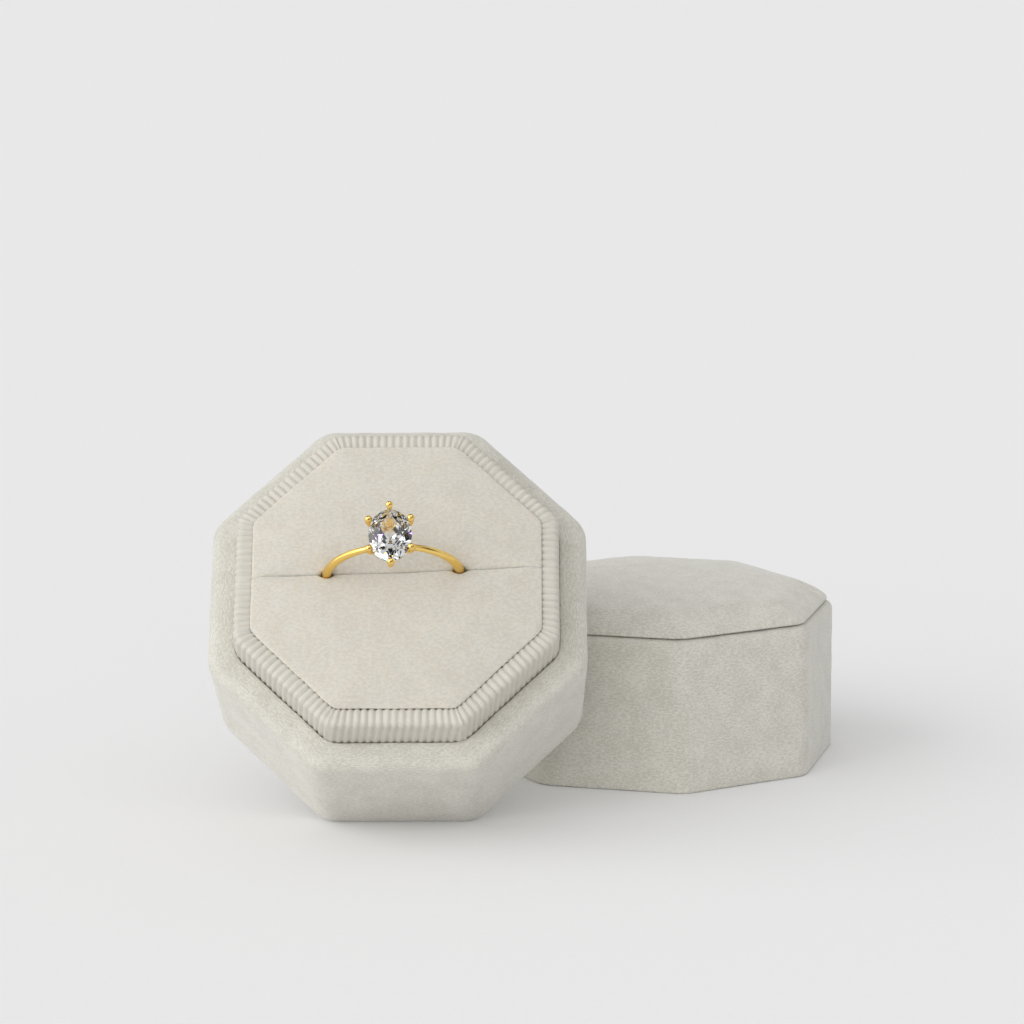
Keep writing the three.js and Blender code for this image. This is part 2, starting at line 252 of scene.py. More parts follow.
def octagon_loop(name, half, height, corner, cuts):
    """Starts a piece, in edit mode, as an octagon's outline with round corners and cut sides."""
    clear_selection()
    bpy.ops.mesh.primitive_circle_add(
        vertices=SIDES,
        radius=half * TO_CORNER,
        fill_type="NGON",
        location=(0, 0, height),
        rotation=(0, 0, STEP / 2),
    )
    obj = new_piece(name)
    bpy.ops.object.mode_set(mode="EDIT")
    bpy.ops.mesh.select_all(action="SELECT")
    bpy.ops.mesh.bevel(offset=corner, segments=4, affect="VERTICES")
    straight = half * SIDE_SHARE - 2.1 * corner  # a side's length between its roundings
    bpy.ops.mesh.select_all(action="SELECT")
    bpy.ops.mesh.delete(type="ONLY_FACE")
    pick(obj, "edges", lambda e: e.calc_length() > 0.9 * straight)
    bpy.ops.mesh.subdivide(number_cuts=cuts)
    pick(obj, "edges", lambda e: True)
    return obj


def carry(profile, rounding=0):
    """Extrudes the selected loop through half-widths and heights, and rounds each ring."""
    for (half, height), (next_half, next_height) in zip(profile, profile[1:]):
        rise = (0, 0, next_height - height)
        bpy.ops.mesh.extrude_edges_move(TRANSFORM_OT_translate={"value": rise})
        grow = next_half / half
        if abs(grow - 1) > 1e-6:
            bpy.ops.transform.resize(value=(grow, grow, 1), center_override=(0, 0, 0))
        if rounding:
            bpy.ops.transform.tosphere(value=rounding)


def close_ring(obj):
    """Joins the last loop of a carried profile to the first, which lies in the same place."""
    bpy.ops.mesh.select_all(action="SELECT")
    bpy.ops.mesh.remove_doubles(threshold=0.002 * MM)
    point_outwards()
    leave_edit()


def close_shell(obj):
    """Caps the selected loop in its middle, and fills the open loop at the piece's other end."""
    bpy.ops.mesh.edge_face_add()
    bpy.ops.mesh.poke()
    pick(obj, "edges", lambda e: e.is_boundary)
    bpy.ops.mesh.edge_face_add()
    point_outwards()


def arc(start, corner, end, steps):
    """Points of a soft turn from one point to another round a corner."""
    turn = []
    for i in range(steps + 1):
        t = i / steps
        turn.append(tuple(
            (1 - t) ** 2 * a + 2 * t * (1 - t) * b + t * t * c
            for a, b, c in zip(start, corner, end)
        ))
    return turn


def divided(profile, longest):
    """The profile with its long stretches cut into steps."""
    points = [profile[0]]
    for (a, b), (c, d) in zip(profile, profile[1:]):
        steps = max(1, math.ceil(math.hypot(c - a, d - b) / longest))
        for i in range(1, steps + 1):
            points.append((a + (c - a) * i / steps, b + (d - b) * i / steps))
    return points


def apply_modifier(obj, kind, **settings):
    """Adds a modifier with these settings and applies it."""
    settle(obj)
    modifier = obj.modifiers.new(kind.title(), kind)
    for key, value in settings.items():
        setattr(modifier, key, value)
    bpy.ops.object.modifier_apply(modifier=modifier.name)


def ruffle(obj, height, grain, group=""):
    """Moves the surface softly in and out, as cloth lies on a board."""
    texture = bpy.data.textures.new(f"{obj.name}_ruffle", "CLOUDS")
    texture.noise_scale = grain
    texture.noise_depth = 2
    apply_modifier(
        obj, "DISPLACE", texture=texture, strength=height, mid_level=0.5, vertex_group=group
    )


def ruffle_above(obj, level, height, grain):
    """Ruffles a piece above a level only."""
    facing = obj.vertex_groups.new(name="facing")
    facing.add([v.index for v in obj.data.vertices if v.co.z > level], 1, "REPLACE")
    ruffle(obj, height, grain, "facing")
    obj.vertex_groups.clear()


def side_of(point):
    """The number, cosine and sine of the octagon's side that a point lies towards."""
    side = round(math.atan2(point.y, point.x) / STEP)
    return side, math.cos(side * STEP), math.sin(side * STEP)


def fresh_map(mesh):
    """The piece's only map, new and empty."""
    while mesh.uv_layers:
        mesh.uv_layers.remove(mesh.uv_layers[0])
    return mesh.uv_layers.new(name="cloth")


def unroll(obj, half):
    """A map in metres along the octagon's sides and up its walls."""
    mesh = obj.data
    layer = fresh_map(mesh)
    for face in mesh.polygons:
        side, cos, sin = side_of(face.center)
        for loop in face.loop_indices:
            x, y, z = mesh.vertices[mesh.loops[loop].vertex_index].co
            along = side * half * SIDE_SHARE - x * sin + y * cos
            layer.uv[loop].vector = (along, z - x * cos - y * sin)


def lay_flat(obj):
    """A map in metres that looks straight down on the piece."""
    mesh = obj.data
    layer = fresh_map(mesh)
    for loop in mesh.loops:
        layer.uv[loop.index].vector = mesh.vertices[loop.vertex_index].co.xy


def join(pieces, name):
    """Joins pieces into one object of this name."""
    clear_selection()
    for piece in pieces:
        piece.select_set(True)
    bpy.context.view_layer.objects.active = pieces[0]
    bpy.ops.object.join()
    return new_piece(name)


def remesh(obj, voxel):
    """Rebuilds the piece as one closed skin of even squares."""
    settle(obj)
    obj.data.remesh_voxel_size = voxel
    bpy.ops.object.voxel_remesh()


SIM_SCALE = 20  # the cloth solver is steadier at furniture size
SIM_FRAMES = 20
SIM_PRESSURE = 4


def swell(obj, held, cap):
    """Blows the piece up as cloth; held points stay, and no other moves further than the cap."""
    rest = [v.co.copy() for v in obj.data.vertices]
    balloon = obj.copy()
    balloon.data = obj.data.copy()
    bpy.context.collection.objects.link(balloon)
    balloon.data.transform(Matrix.Scale(SIM_SCALE, 4))
    pins = balloon.vertex_groups.new(name="held")
    pins.add([i for i, co in enumerate(rest) if held(co)], 1, "REPLACE")
    settle(balloon)
    cloth = balloon.modifiers.new("Cloth", "CLOTH")
    cloth.settings.quality = 5
    cloth.settings.mass = 0.3
    cloth.settings.vertex_group_mass = "held"
    cloth.settings.use_pressure = True
    cloth.settings.uniform_pressure_force = SIM_PRESSURE
    cloth.settings.effector_weights.gravity = 0
    for number in range(1, SIM_FRAMES + 1):
        bpy.context.scene.frame_set(number)
    bpy.ops.object.modifier_apply(modifier=cloth.name)
    for vertex, blown, start in zip(obj.data.vertices, balloon.data.vertices, rest):
        move = blown.co / SIM_SCALE - start
        if move.length > cap:
            move *= cap / move.length
        vertex.co = start + move
    bpy.data.objects.remove(balloon)
    bpy.context.scene.frame_set(1)


def finish_piece(obj, space, body, slot, node):
    """Puts a finished piece in its place on its body, in the stead of its CAD node."""
    obj.matrix_world = space
    settle(obj)
    bpy.ops.object.shade_smooth_by_angle(angle=math.radians(50))
    obj.data.materials.clear()
    obj.data.materials.append(look_named(slot))
    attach(obj, body)
    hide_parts(node)


# ---------- materials ----------


class Look:
    """A node material on one Principled shader, with short ways to add a pattern."""

    def __init__(self, name, coordinates="Object"):
        self.material = bpy.data.materials.new(name)
        self.material.use_nodes = True
        self.tree = self.material.node_tree
        self.shader = self.tree.nodes["Principled BSDF"]
        self.where = self.add("ShaderNodeTexCoord").outputs[coordinates]

    def add(self, kind, **settings):
        node = self.tree.nodes.new(kind)
        for key, value in settings.items():
            setattr(node, key, value)
        return node

    def link(self, start, end):
        self.tree.links.new(start, end)

    def set(self, **values):
        """Sets sockets of the shader; sheen_weight means Sheen Weight."""
        sockets = {socket.name.lower().replace(" ", "_"): socket for socket in self.shader.inputs}
        for name, value in values.items():
            sockets[name].default_value = value

    def noise(self, scale, detail=2.0, roughness=0.5, stretch=(1, 1, 1)):
        mapping = self.add("ShaderNodeMapping")
        mapping.inputs["Scale"].default_value = stretch
        self.link(self.where, mapping.inputs["Vector"])
        field = self.add("ShaderNodeTexNoise")
        field.inputs["Scale"].default_value = scale
        field.inputs["Detail"].default_value = detail
        field.inputs["Roughness"].default_value = roughness
        self.link(mapping.outputs[0], field.inputs["Vector"])
        return field.outputs[0]

    def math(self, operation, a, b):
        node = self.add("ShaderNodeMath", operation=operation)
        for socket, value in zip(node.inputs, (a, b)):
            if isinstance(value, (int, float)):
                socket.default_value = value
            else:
                self.link(value, socket)
        return node.outputs[0]

    def blend(self, weights):
        """The weighted sum of fields."""
        total = None
        for field, weight in weights:
            part = self.math("MULTIPLY", field, weight)
            total = part if total is None else self.math("ADD", total, part)
        return total

    def ramp(self, field, low, high, dark, light):
        """Colours from dark to light as the field goes from low to high."""
        node = self.add("ShaderNodeValToRGB")
        first, last = node.color_ramp.elements
        first.position, last.position = low, high
        first.color, last.color = (*dark, 1), (*light, 1)
        self.link(field, node.inputs[0])
        return node.outputs[0]

    def spread(self, field, low, high, to_low, to_high):
        node = self.add("ShaderNodeMapRange")
        for socket, value in zip(node.inputs[1:5], (low, high, to_low, to_high)):
            socket.default_value = value
        self.link(field, node.inputs[0])
        return node.outputs[0]

    def colour(self, output):
        self.link(output, self.shader.inputs["Base Color"])

    def rough(self, output):
        self.link(output, self.shader.inputs["Roughness"])

    def bump(self, field, distance, strength=1.0):
        node = self.add("ShaderNodeBump")
        node.inputs["Distance"].default_value = distance
        node.inputs["Strength"].default_value = strength
        self.link(field, node.inputs["Height"])
        self.link(node.outputs[0], self.shader.inputs["Normal"])


def darker(colour, share):
    return [share * c for c in colour]


def velvet_look(name, light, shade, streak=(1, 2.6, 1), sheen=0.4, glow=0.0):
    """Short pile: brushed streaks, soft clouds and fine grain, bright at grazing angles."""
    look = Look(name, "UV")
    clouds = look.noise(280, detail=3)
    streaks = look.noise(1500, detail=3, roughness=0.6, stretch=streak)
    grain = look.noise(3600, detail=3, roughness=0.65)
    pile = look.blend([(clouds, 0.18), (streaks, 0.47), (grain, 0.35)])
    look.colour(look.ramp(pile, 0.44, 0.56, shade, light))
    look.rough(look.spread(grain, 0.3, 0.7, 0.85, 1.0))
    look.bump(look.blend([(streaks, 0.6), (grain, 0.4)]), 0.12 * MM, 0.7)
    look.set(sheen_weight=sheen, sheen_roughness=0.45, sheen_tint=(1, 1, 1, 1))
    look.set(specular_ior_level=0.15)
    look.set(subsurface_weight=glow, subsurface_scale=0.9 * MM)
    look.set(subsurface_radius=(1.0, 0.75, 0.5))
    return look.material


def ribbon_look(colours):
    """Grosgrain: fine threads along the ribs, with a soft silk gloss."""
    look = Look("grosgrain_ribbon", "UV")
    threads = look.noise(3800, detail=2, stretch=(1, 0.12, 1))
    patches = look.noise(420, detail=2)
    fibre = look.blend([(threads, 0.6), (patches, 0.4)])
    dark = darker(colours.ribbon, 0.9)
    look.colour(look.ramp(fibre, 0.35, 0.65, dark, colours.ribbon))
    look.rough(look.spread(threads, 0.3, 0.7, 0.5, 0.68))
    look.bump(threads, 0.03 * MM, 0.5)
    look.set(sheen_weight=0.12, sheen_roughness=0.4, specular_ior_level=0.35)
    return look.material


def board_look(colours):
    """Pressed grey board: short fibres and darker specks."""
    look = Look("pressed_grey_board")
    fibres = look.noise(900, detail=5, roughness=0.65, stretch=(1, 1, 2.5))
    specks = look.noise(3500, detail=1)
    both = look.blend([(fibres, 0.7), (specks, 0.3)])
    dark = darker(colours.board, 0.62)
    look.colour(look.ramp(both, 0.35, 0.6, dark, colours.board))
    look.rough(look.spread(fibres, 0.3, 0.7, 0.82, 0.97))
    look.bump(both, 0.08 * MM, 0.6)
    return look.material


def foam_look(colours):
    """Fine-cell foam: small open cells, with painted shade darkening each cell's pit."""
    look = Look("fine_cell_foam")
    cells = look.add("ShaderNodeTexVoronoi")
    cells.inputs["Scale"].default_value = 1600
    look.link(look.where, cells.inputs["Vector"])
    depth = cells.outputs["Distance"]
    # painted shade: the colour darkens towards each cell's middle, where the bump sinks a pit
    dark = darker(colours.foam, 0.7)
    look.colour(look.ramp(depth, 0.0, 0.6, dark, colours.foam))
    look.rough(look.spread(depth, 0.0, 0.6, 0.98, 0.85))
    look.bump(depth, 0.2 * MM, 0.7)
    return look.material


def lining_look(colours):
    """Flocked paper that lines the lid."""
    look = Look("flocked_lining")
    flock = look.noise(2600, detail=3, roughness=0.6)
    clouds = look.noise(260, detail=2)
    both = look.blend([(flock, 0.6), (clouds, 0.4)])
    dark = darker(colours.lining, 0.85)
    look.colour(look.ramp(both, 0.36, 0.62, dark, colours.lining))
    look.rough(look.spread(flock, 0.3, 0.7, 0.85, 1.0))
    look.bump(flock, 0.06 * MM, 0.6)
    look.set(sheen_weight=0.2, sheen_roughness=0.5)
    return look.material


def gold_look(colours):
    """Polished gold: faint polishing marks and slightly uneven gloss."""
    look = Look("polished_gold")
    marks = look.noise(2200, detail=4, roughness=0.7, stretch=(1, 1, 6))
    patches = look.noise(300, detail=2)
    deep = [c * f for c, f in zip(colours.gold, (0.96, 0.9, 0.75))]
    look.colour(look.ramp(patches, 0.35, 0.65, deep, colours.gold))
    look.rough(look.spread(marks, 0.3, 0.7, 0.1, 0.2))
    look.bump(marks, 0.004 * MM, 0.35)
    look.set(metallic=1.0)
    return look.material


def stone_look(colours):
    """Clear cut stone with a trace of haze inside."""
    look = Look("clear_stone")
    haze = look.noise(500, detail=2)
    tint = [c * f for c, f in zip(colours.stone, (0.95, 0.975, 1.0))]
    look.colour(look.ramp(haze, 0.4, 0.6, tint, colours.stone))
    look.rough(look.spread(haze, 0.3, 0.7, 0.0, 0.012))
    look.set(transmission_weight=1.0, ior=1.9)
    return look.material


def floor_look(colours):
    """Matt seamless paper."""
    look = Look("studio_paper")
    fibre = look.noise(900, detail=3)
    look.colour(look.ramp(fibre, 0.4, 0.6, darker(colours.floor, 0.994), colours.floor))
    look.rough(look.spread(fibre, 0.3, 0.7, 0.92, 1.0))
    look.set(specular_ior_level=0.0)
    return look.material


looks = {}


def look_named(name):
    """One material for each finish, made when it is first asked for."""
    colours = bpy.context.scene.ring_box_colours
    makers = {
        "grey_velvet": lambda: velvet_look("grey_velvet", colours.velvet, colours.velvet_shade),
        "ivory_velvet": lambda: velvet_look(
            "ivory_velvet", colours.cushion, colours.cushion_shade,
            streak=(1, 1.6, 1), sheen=0.2, glow=0.5,
        ),
        "ivory_ribbon": lambda: ribbon_look(colours),
        "board": lambda: board_look(colours),
        "foam": lambda: foam_look(colours),
        "lining": lambda: lining_look(colours),
        "gold": lambda: gold_look(colours),
        "stone": lambda: stone_look(colours),
        "floor": lambda: floor_look(colours),
    }
    if name not in looks:
        looks[name] = makers[name]()
    return looks[name]


# ---------- operators ----------


class PieceOperator:
    bl_options = {"REGISTER", "UNDO"}

    @property
    def sizes(self):
        return bpy.context.scene.ring_box_sizes


CLOTH_STEP = 0.9 * MM  # between the loops of a velvet wall


def velvet_wrap(name, node, sizes, profile, space, body):
    """Velvet carried round the eight sides of a half and turned in over its edges."""
    half = max(p[0] for p in profile)
    obj = octagon_loop(name, *profile[0], sizes.corner, cuts=26)
    carry(profile)
    point_outwards()
    leave_edit()
    ruffle(obj, sizes.ruffle, grain=3.2 * MM)
    ruffle(obj, 0.4 * sizes.ruffle, grain=0.9 * MM)
    apply_modifier(obj, "SOLIDIFY", thickness=sizes.velvet, offset=-1)
    unroll(obj, half)
    finish_piece(obj, space, body, "grey_velvet", node)


class RINGBOX_OT_base_velvet(PieceOperator, bpy.types.Operator):
    """Velvet round the base, turned in over the shoulder and under the bottom edge"""

    bl_idname = "ring_box.base_velvet"
    bl_label = "Base velvet"

    def execute(self, context):
        sizes = self.sizes
        half, edge, rim = base_high.x, sizes.edge, sizes.rim
        shoulder, top = half + sizes.pile, base_high.z + sizes.pile
        inner = ribbon_high.x - 0.08 * MM  # pressed into the ribbon
        turned = bottom_high.x + 0.15 * MM  # an open seam round the bottom panel
        crease = (inner + 0.4 * rim, top + 0.2 * sizes.pile)
        profile = divided([(turned, 0), (half - rim, 0)], CLOTH_STEP)
        profile += arc(profile[-1], (half, 0), (half, rim), steps=4)[1:]
        profile += divided([profile[-1], (shoulder, top - edge)], CLOTH_STEP)[1:]
        profile += arc(profile[-1], (shoulder, top), (shoulder - edge, top), steps=7)[1:]
        profile += divided([profile[-1], crease], longest=0.6 * MM)[1:]
        profile += arc(profile[-1], (inner, top), (inner, top - rim), steps=5)[1:]
        velvet_wrap(
            "base_velvet", "base_velvet_wrap", sizes, profile, BASE, "base",
        )
        return {"FINISHED"}


def velvet_panel(name, half, thick, sizes):
    """A flat octagon of velvet with a soft rounded edge, its back at height zero."""
    soft = 0.4 * thick
    obj = octagon_loop(name, half - soft, 0, sizes.corner, cuts=14)
    profile = arc((half - soft, 0), (half, 0), (half, soft), steps=2)
    profile += arc((half, thick - soft), (half, thick), (half - soft, thick), steps=3)
    profile += divided([(half - soft, thick), (0.06 * half, thick)], 1.3 * MM)[1:]
    carry(profile)
    close_shell(obj)
    leave_edit()
    ruffle_above(obj, soft, 0.8 * sizes.ruffle, grain=3 * MM)
    lay_flat(obj)
    return obj


class RINGBOX_OT_base_bottom(PieceOperator, bpy.types.Operator):
    """Velvet panel on the underside of the base"""

    bl_idname = "ring_box.base_bottom"
    bl_label = "Base bottom"

    def execute(self, context):
        half, thick = bottom_high.x, bottom_high.z - bottom_low.z
        obj = velvet_panel("base_bottom_panel", half, thick, self.sizes)
        place = BASE @ Matrix.Rotation(math.pi, 4, "X") @ Matrix.Translation((0, 0, -thick))
        finish_piece(obj, place, "base", "grey_velvet", "base_bottom_velvet")
        return {"FINISHED"}


class RINGBOX_OT_collar_ribbon(PieceOperator, bpy.types.Operator):
    """Ribbed grosgrain ribbon folded over the collar"""

    bl_idname = "ring_box.collar_ribbon"
    bl_label = "Collar ribbon"

    def execute(self, context):
        sizes = self.sizes
        outer, top, foot = ribbon_high.x, ribbon_high.z, ribbon_low.z
        thick = outer - collar_board_high.x - 0.12 * MM
        inner = cushion_high.x + 0.2 * MM
        drop = top - 8 * MM  # where it ends, down inside the collar
        outer_round, inner_round = 1.2 * MM, 0.6 * MM
        path = divided([(outer, foot), (outer, top - outer_round)], 1.0 * MM)
        path += arc(path[-1], (outer, top), (outer - outer_round, top), steps=6)[1:]
        path += divided([path[-1], (inner + inner_round, top)], 0.3 * MM)[1:]
        path += arc(path[-1], (inner, top), (inner, top - inner_round), steps=4)[1:]
        path += divided([path[-1], (inner, drop)], 1.6 * MM)[1:]
        path += [(inner + thick, drop), (inner + thick, top - thick)]
        path += [(outer - thick, top - thick), (outer - thick, foot), (outer, foot)]
        cuts = sizes.ribs * 12 - 5  # twelve points to a rib, less those of the corner
        obj = octagon_loop("ribbed_ribbon", outer, foot, corner=0.8 * MM, cuts=cuts)
        carry(path)
        close_ring(obj)
        self.press_ribs(obj, sizes, outer, inner, thick, top)
        unroll(obj, outer)
        finish_piece(obj, BASE, "base", "ivory_ribbon", "collar_ribbon")
        return {"FINISHED"}

    def press_ribs(self, obj, sizes, outer, inner, thick, top):
        """Raises the ribs: square to each side, and fanned and crowded at the corners."""
        side_length = outer * SIDE_SHARE
        pitch = side_length / sizes.ribs
        normals = [v.normal.copy() for v in obj.data.vertices]
        for vertex, normal in zip(obj.data.vertices, normals):
            x, y, z = vertex.co
            side, cos, sin = side_of(vertex.co)
            out, along = x * cos + y * sin, y * cos - x * sin
            start = along * outer / out  # where this point's rib meets the outer face
            near_corner = abs(2 * start / side_length)
            moved = start * (out / outer + (1 - out / outer) * (1 - near_corner**4))
            slant = 0.12 * (top - z) if z < top - 0.5 * thick else 0
            phase = (start + slant + side * side_length) / pitch
            wander = noise.noise(Vector((0.35 * phase, side, 0.2)))
            crest = abs(math.cos(math.pi * (phase + 0.05 * wander)))
            depth = sizes.rib_height * (1 + 0.1 * wander) * (crest**1.1 - 1)
            faces_out = normal.x * cos + normal.y * sin > 0.2
            behind_wall = not faces_out and out > inner + 0.9 * thick and z < top - 0.9 * thick
            behind_fold = faces_out and out < inner + 1.1 * thick
            if behind_wall or behind_fold:
                depth = 0
            place = Vector((out * cos - moved * sin, out * sin + moved * cos, z))
            vertex.co = place + normal * depth


class RINGBOX_OT_cushion(PieceOperator, bpy.types.Operator):
    """The cushion's two ivory velvet halves, parted only where the ring's band stands"""

    bl_idname = "ring_box.cushion"
    bl_label = "Cushion"

    def execute(self, context):
        for place, side in (("upper", 1), ("lower", -1)):
            self.half_cushion(place, side)
        return {"FINISHED"}

    def half_cushion(self, place, side):
        sizes = self.sizes
        slot = BASE.inverted() @ RING
        across = slot.to_3x3() @ Vector((0, side, 0))
        half, foot = cushion_high.x, cushion_low.z
        top = cushion_high.z - 0.7 * MM  # before it swells
        shoulder = half - 1.6 * MM
        brim = half + 0.8 * MM  # laps over the ribbon's inner edge
        ledge = ribbon_high.z
        obj = octagon_loop(f"cushion_cover_{place}", half, foot, sizes.corner, cuts=12)
        profile = divided([(half, foot), (half, ledge - 1.1 * MM)], 2 * MM)
        profile += arc(profile[-1], (half, ledge), (brim, ledge - 0.1 * MM), steps=3)[1:]
        profile += arc(profile[-1], (brim, top), (shoulder, top), steps=5)[1:]
        for ring in (0.75, 0.55, 0.35, 0.12):
            profile.append((half * ring, top + 0.2 * MM * (1 - ring * ring)))
        carry(profile)
        close_shell(obj)
        cut = slot.translation - across * sizes.lip
        bpy.ops.mesh.bisect(
            plane_co=cut, plane_no=across, use_fill=True, clear_inner=True, threshold=1e-6
        )

        def on_lip(vertex):
            off_cut = abs((vertex.co - cut).dot(across))
            return off_cut < 0.01 * MM and vertex.co.z > top - 0.3 * MM

        pick(obj, "edges", lambda e: all(on_lip(v) for v in e.verts))
        bpy.ops.mesh.bevel(offset=0.35 * MM, segments=3, clamp_overlap=True)
        leave_edit()
        remesh(obj, voxel=0.55 * MM)

        def held(co):
            return co.z < top - 3 * MM or (self.on_wall(co, half) and co.z < top - 0.3 * MM)

        swell(obj, held, cap=sizes.swell)
        self.make_room(obj, slot, side)
        apply_modifier(obj, "SMOOTH", iterations=2, factor=0.5)
        apply_modifier(obj, "SUBSURF", levels=1, render_levels=1)
        ruffle_above(obj, top - 2 * MM, 0.9 * sizes.ruffle, grain=3.5 * MM)
        self.make_room(obj, slot, side)
        self.hollow(obj, foot, sizes.cover)
        lay_flat(obj)
        finish_piece(obj, BASE, "base", "ivory_velvet", f"cushion_velvet_{place}")

    def on_wall(self, co, half):
        """Whether a point is on the walls that stand against the collar."""
        _, cos, sin = side_of(co)
        return co.x * cos + co.y * sin > half - 0.6 * MM

    def make_room(self, obj, slot, side):
        """Pushes the velvet off the ring's band, and off the other half elsewhere."""
        middle = band_radius - wire_radius
        reach = 1.2 * wire_radius  # how far from the band's middle the velvet gives way
        room = 1.04 * wire_radius
        inverse = slot.inverted()
        for vertex in obj.data.vertices:
            point = inverse @ vertex.co
            off_band = abs(math.hypot(point.x, point.z) - middle)
            near = math.sqrt(max(0, 1 - (off_band / reach) ** 2))
            gap = room * near - self.sizes.lip * (1 - near)
            if side * point.y < gap:
                point.y = side * gap
                vertex.co = slot @ point

    def hollow(self, obj, foot, cover):
        """Opens the cover underneath and gives its cloth a thickness."""
        settle(obj)
        bpy.ops.object.mode_set(mode="EDIT")
        lowest = foot + 0.6 * MM
        pick(obj, "faces", lambda f: f.calc_center_median().z < lowest and f.normal.z < -0.5)
        bpy.ops.mesh.delete(type="FACE")
        leave_edit()
        apply_modifier(obj, "SOLIDIFY", thickness=cover, offset=-1)


class RINGBOX_OT_lid_velvet(PieceOperator, bpy.types.Operator):
    """Velvet round the lid, turned in at the rim and over the top"""

    bl_idname = "ring_box.lid_velvet"
    bl_label = "Lid velvet"

    def execute(self, context):
        sizes = self.sizes
        half, top, rim = lid_high.x, lid_high.z, sizes.rim
        inner = lining_high.x + 0.15 * MM  # clear of the lining
        under = half - 4 * MM  # where the cloth ends, under the padded top
        profile = divided([(inner, 0), (half - 0.5 * rim, 0)], 0.7 * MM)
        profile += arc(profile[-1], (half, 0), (half, 0.5 * rim), steps=3)[1:]
        profile += divided([profile[-1], (half, top - 1.6 * rim)], CLOTH_STEP)[1:]
        profile += arc(profile[-1], (half, top), (half - 1.8 * rim, top), steps=6)[1:]
        profile += divided([profile[-1], (under, top)], 0.8 * MM)[1:]
        velvet_wrap(
            "lid_velvet", "lid_velvet_wrap", sizes, profile, LID, "lid",
        )
        return {"FINISHED"}


class RINGBOX_OT_lid_top(PieceOperator, bpy.types.Operator):
    """Padded velvet top of the lid, tucked in along its seam"""

    bl_idname = "ring_box.lid_top"
    bl_label = "Lid top"

    def execute(self, context):
        sizes = self.sizes
        half, seam, crest = dome_high.x - 0.3 * MM, lid_high.z, dome_high.z
        tucked = half - 1.6 * MM
        lip = seam + 0.5 * MM
        obj = octagon_loop("lid_padded_top", tucked, dome_low.z, sizes.corner, cuts=14)
        carry([(tucked, dome_low.z), (half - 0.4 * MM, seam), (half, lip)])
        rings = 16
        last = (half, lip)
        for i in range(1, rings):
            turn = i / rings * math.pi / 2
            ring = (half * math.cos(turn), lip + (crest - lip) * math.sin(turn))
            carry([last, ring], rounding=0.2 if i >= rings / 2 else 0.01)
            last = ring
        close_shell(obj)
        leave_edit()
        remesh(obj, voxel=0.6 * MM)
        swell(obj, lambda co: co.z < lip, cap=0.5 * MM)
        apply_modifier(obj, "SMOOTH", iterations=3, factor=0.5)
        apply_modifier(obj, "SUBSURF", levels=1, render_levels=1)
        for vertex in obj.data.vertices:
            vertex.co.z = min(vertex.co.z, crest + 0.3 * MM)
        ruffle_above(obj, seam + 0.4 * MM, 1.2 * sizes.ruffle, grain=5 * MM)
        lay_flat(obj)
        finish_piece(obj, LID, "lid", "grey_velvet", "lid_top_velvet")
        return {"FINISHED"}


class RINGBOX_OT_lid_ceiling(PieceOperator, bpy.types.Operator):
    """Ivory velvet panel that closes the top of the lid's hollow"""

    bl_idname = "ring_box.lid_ceiling"
    bl_label = "Lid ceiling"

    def execute(self, context):
        half, thick = ceiling_high.x, ceiling_high.z - ceiling_low.z
        obj = velvet_panel("lid_ceiling_panel", half, thick, self.sizes)
        lift = Matrix.Translation((0, 0, ceiling_high.z))
        place = LID @ lift @ Matrix.Rotation(math.pi, 4, "X")
        finish_piece(obj, place, "lid", "ivory_velvet", "lid_ceiling_velvet")
        return {"FINISHED"}


class RINGBOX_OT_boards(PieceOperator, bpy.types.Operator):
    """Finishes of the boards, foam and lining inside the box"""

    bl_idname = "ring_box.boards"
    bl_label = "Boards, foam and lining"

    def execute(self, context):
        finishes = {
            "board": [
                "base_floor_board", "base_wall_board", "collar_board", "insert_card",
                "lid_wall_board", "lid_top_board", "lid_ceiling_card", "lid_dome_card",
            ],
            "foam": ["cushion_foam_upper", "cushion_foam_lower", "lid_dome_foam"],
            "lining": ["lid_wall_lining"],
        }
        for finish, nodes in finishes.items():
            for node in nodes:
                mesh = frame["nodes"][node].data
                mesh.materials.clear()
                mesh.materials.append(look_named(finish))
        return {"FINISHED"}


class RINGBOX_OT_shank(PieceOperator, bpy.types.Operator):
    """The ring's round band, finer towards the head"""

    bl_idname = "ring_box.shank"
    bl_label = "Ring band"

    def execute(self, context):
        middle = band_radius - wire_radius
        clear_selection()
        bpy.ops.mesh.primitive_torus_add(
            major_radius=middle,
            minor_radius=wire_radius,
            major_segments=144,
            minor_segments=24,
            rotation=(math.pi / 2, 0, 0),
        )
        obj = new_piece("ring_band")
        bpy.ops.object.mode_set(mode="EDIT")
        pick(obj, "faces", self.under_head)
        bpy.ops.mesh.delete(type="FACE")
        pick(obj, "edges", lambda e: e.is_boundary)
        bpy.ops.mesh.fill_holes(sides=0)
        leave_edit()
        self.draw_down(obj, middle)
        finish_piece(obj, RING, "ring", "gold", "ring_shank")
        return {"FINISHED"}

    def under_head(self, face):
        """Whether a face lies in the gap that the head closes."""
        center = face.calc_center_median()
        return center.z > 0 and abs(center.x) < 2.2 * MM

    def draw_down(self, obj, middle):
        """Thins the wire from the slot up to the head."""
        for vertex in obj.data.vertices:
            around = Vector((vertex.co.x, 0, vertex.co.z)).normalized() * middle
            rise = max(0, around.z / middle)
            vertex.co = around + (vertex.co - around) * (1 - 0.4 * rise**1.1)


